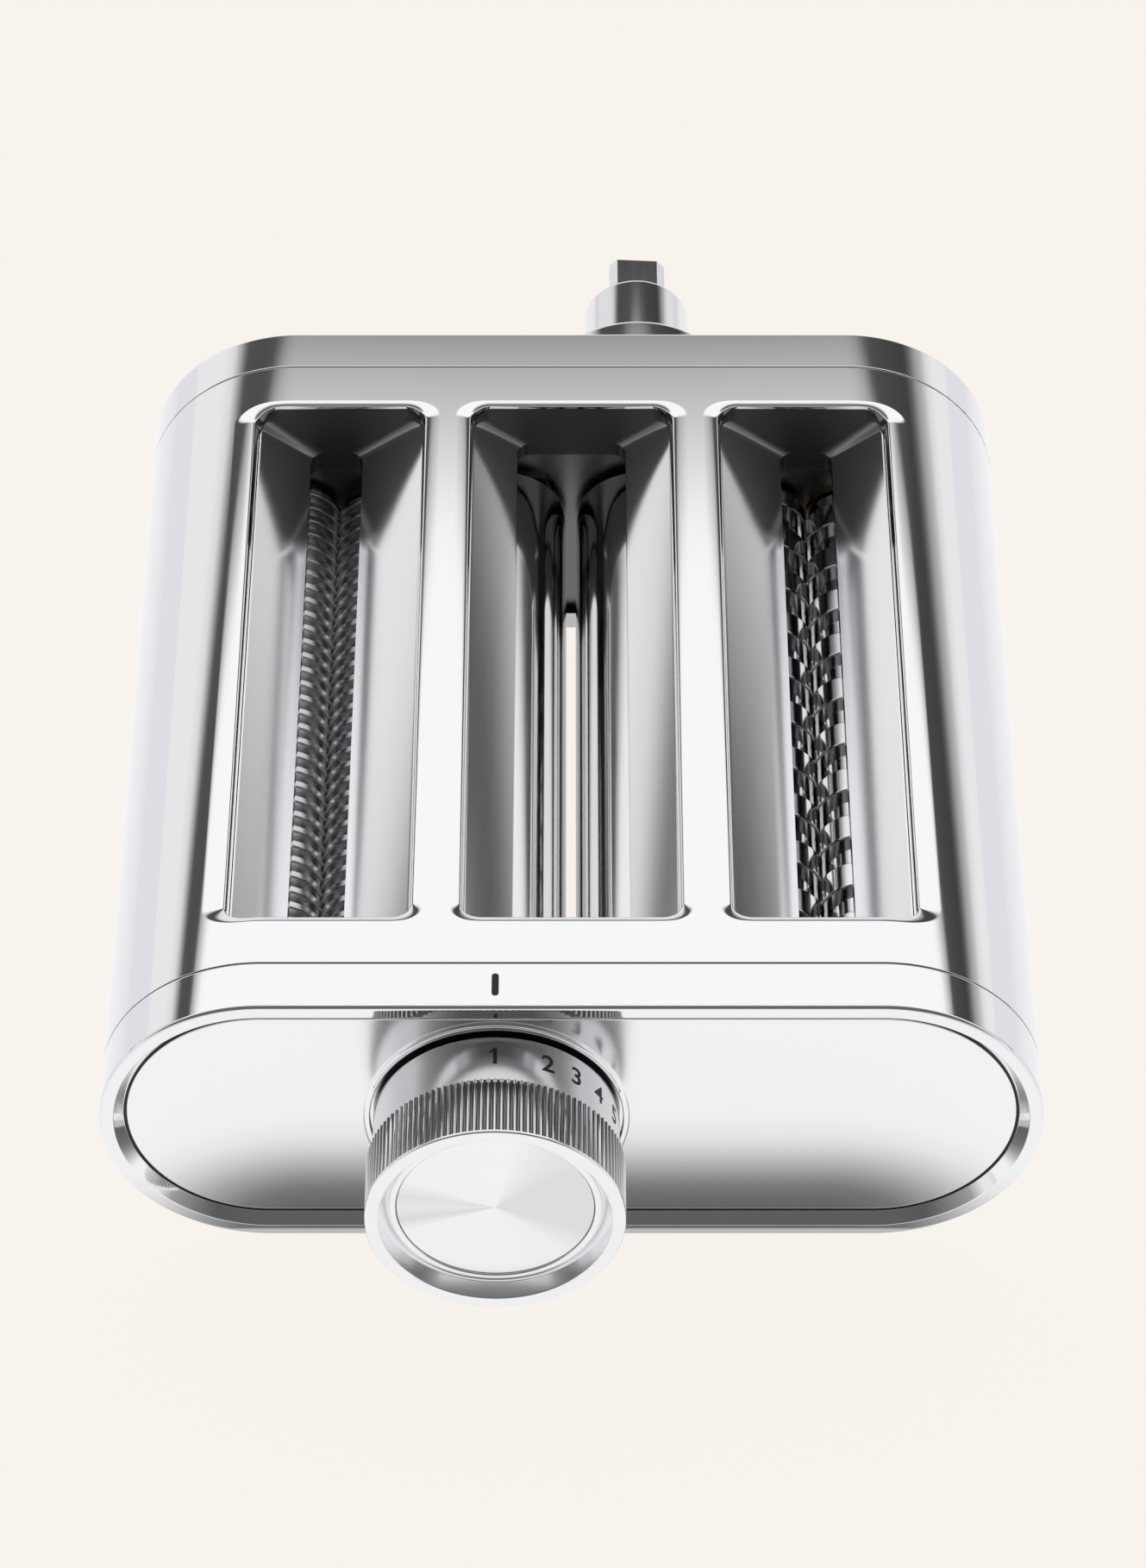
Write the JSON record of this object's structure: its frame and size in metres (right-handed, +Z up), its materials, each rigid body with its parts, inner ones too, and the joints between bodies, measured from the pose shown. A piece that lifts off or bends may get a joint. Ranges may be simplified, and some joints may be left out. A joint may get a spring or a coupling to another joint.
{
  "type": "pasta roller and cutter attachment",
  "caption": "Stadium-section steel pasta attachment with feed slots over plain rollers and ring cutters, a thickness dial in front and a mixer hub shank with drive tang behind.",
  "frame": {"origin": "centre of the overall length and width, on the underside that it rests on", "axes": "+Y along the shafts from the dial to the mixer hub, +Z up through the feed slots, +X across to the driven roller's side"},
  "size_m": [0.1984, 0.3094, 0.07],
  "materials": {
    "polished_steel": "mirror polished stainless steel",
    "fascia_steel": "polished stainless steel plate",
    "roller_steel": "ground and polished steel",
    "cutter_steel": "turned and plated steel",
    "brushed_steel": "spun brushed steel",
    "frame_steel": "pressed steel plate",
    "gear_steel": "hobbed steel",
    "drive_steel": "machined steel",
    "bush_bronze": "sintered bronze",
    "spring_steel": "spring wire"
  },
  "bodies": {
    "housing": {"outer_sleeve": "polished_steel", "front_cap": "polished_steel", "front_fascia": "fascia_steel", "back_cap": "polished_steel", "back_fascia": "fascia_steel", "hub_flange": "polished_steel", "hub_shank": "polished_steel", "fine_hopper": "polished_steel", "sheet_hopper": "polished_steel", "wide_hopper": "polished_steel", "front_frame_plate": "frame_steel", "rear_frame_plate": "frame_steel", "frame_rods": "frame_steel", "roller_bushes": "bush_bronze", "cutter_bushes": "bush_bronze", "dial_bezel": "polished_steel", "idler_stud": "frame_steel"},
    "drive_line": {"drive_roller": "roller_steel", "drive_shaft": "drive_steel", "drive_roller_gear": "gear_steel", "main_drive_gear": "gear_steel"},
    "carriage": {"front_bearing_block": "frame_steel", "rear_bearing_block": "frame_steel", "carriage_tie_rod": "frame_steel"},
    "sliding_roller": {"adjustable_roller": "roller_steel", "adjustable_roller_gear": "gear_steel"},
    "fine_inner": {"fine_inner_cutter": "cutter_steel", "fine_inner_gear": "gear_steel", "fine_pinion": "gear_steel"},
    "fine_outer": {"fine_outer_cutter": "cutter_steel", "fine_outer_gear": "gear_steel"},
    "wide_inner": {"wide_inner_cutter": "cutter_steel", "wide_inner_gear": "gear_steel", "wide_pinion": "gear_steel"},
    "wide_outer": {"wide_outer_cutter": "cutter_steel", "wide_outer_gear": "gear_steel"},
    "idler": {"idler_gear": "gear_steel"},
    "spindle": {"dial_spindle": "frame_steel", "dial_spring": "spring_steel"},
    "knob": {"dial_knob": "polished_steel", "dial_disc": "brushed_steel"}
  },
  "joints": [
    {"name": "drive_spin", "type": "hinge", "parent": "housing", "child": "drive_line", "pos_m": [0.01575, 0, 0.035], "axis": [0, 1, 0], "continuous": true},
    {"name": "dial_turn", "type": "hinge", "parent": "housing", "child": "spindle", "pos_m": [-0.01575, 0, 0.035], "axis": [0, -1, 0], "range_deg": [0, 121]},
    {"name": "dial_pull", "type": "slide", "parent": "spindle", "child": "knob", "axis": [0, -1, 0], "range_m": [0, 0.004], "stiffness_N_per_m": 1500, "springref_m": -0.002, "deforming": ["dial_spring"]},
    {"name": "roller_shift", "type": "slide", "parent": "housing", "child": "carriage", "axis": [1, 0, 0], "range_m": [0, 0.00185]},
    {"name": "sliding_roller_spin", "type": "hinge", "parent": "carriage", "child": "sliding_roller", "pos_m": [-0.016, 0, 0.035], "axis": [0, 1, 0], "continuous": true},
    {"name": "idler_spin", "type": "hinge", "parent": "housing", "child": "idler", "pos_m": [-0.01889, 0, 0.03754], "axis": [0, 1, 0], "continuous": true},
    {"name": "fine_inner_spin", "type": "hinge", "parent": "housing", "child": "fine_inner", "pos_m": [-0.0452, 0, 0.035], "axis": [0, 1, 0], "continuous": true},
    {"name": "fine_outer_spin", "type": "hinge", "parent": "housing", "child": "fine_outer", "pos_m": [-0.0636, 0, 0.035], "axis": [0, 1, 0], "continuous": true},
    {"name": "wide_inner_spin", "type": "hinge", "parent": "housing", "child": "wide_inner", "pos_m": [0.0452, 0, 0.035], "axis": [0, 1, 0], "continuous": true},
    {"name": "wide_outer_spin", "type": "hinge", "parent": "housing", "child": "wide_outer", "pos_m": [0.0636, 0, 0.035], "axis": [0, 1, 0], "continuous": true}
  ],
  "couplings": [
    {"joint": "roller_shift", "follows": "dial_turn", "m_per_rad": 0.00087601},
    {"joint": "sliding_roller_spin", "follows": "drive_spin", "ratio": -1},
    {"joint": "idler_spin", "follows": "drive_spin", "ratio": -1.1905},
    {"joint": "fine_inner_spin", "follows": "drive_spin", "ratio": 1.7857},
    {"joint": "fine_outer_spin", "follows": "drive_spin", "ratio": -1.7857},
    {"joint": "wide_inner_spin", "follows": "drive_spin", "ratio": -1.7857},
    {"joint": "wide_outer_spin", "follows": "drive_spin", "ratio": 1.7857}
  ]
}
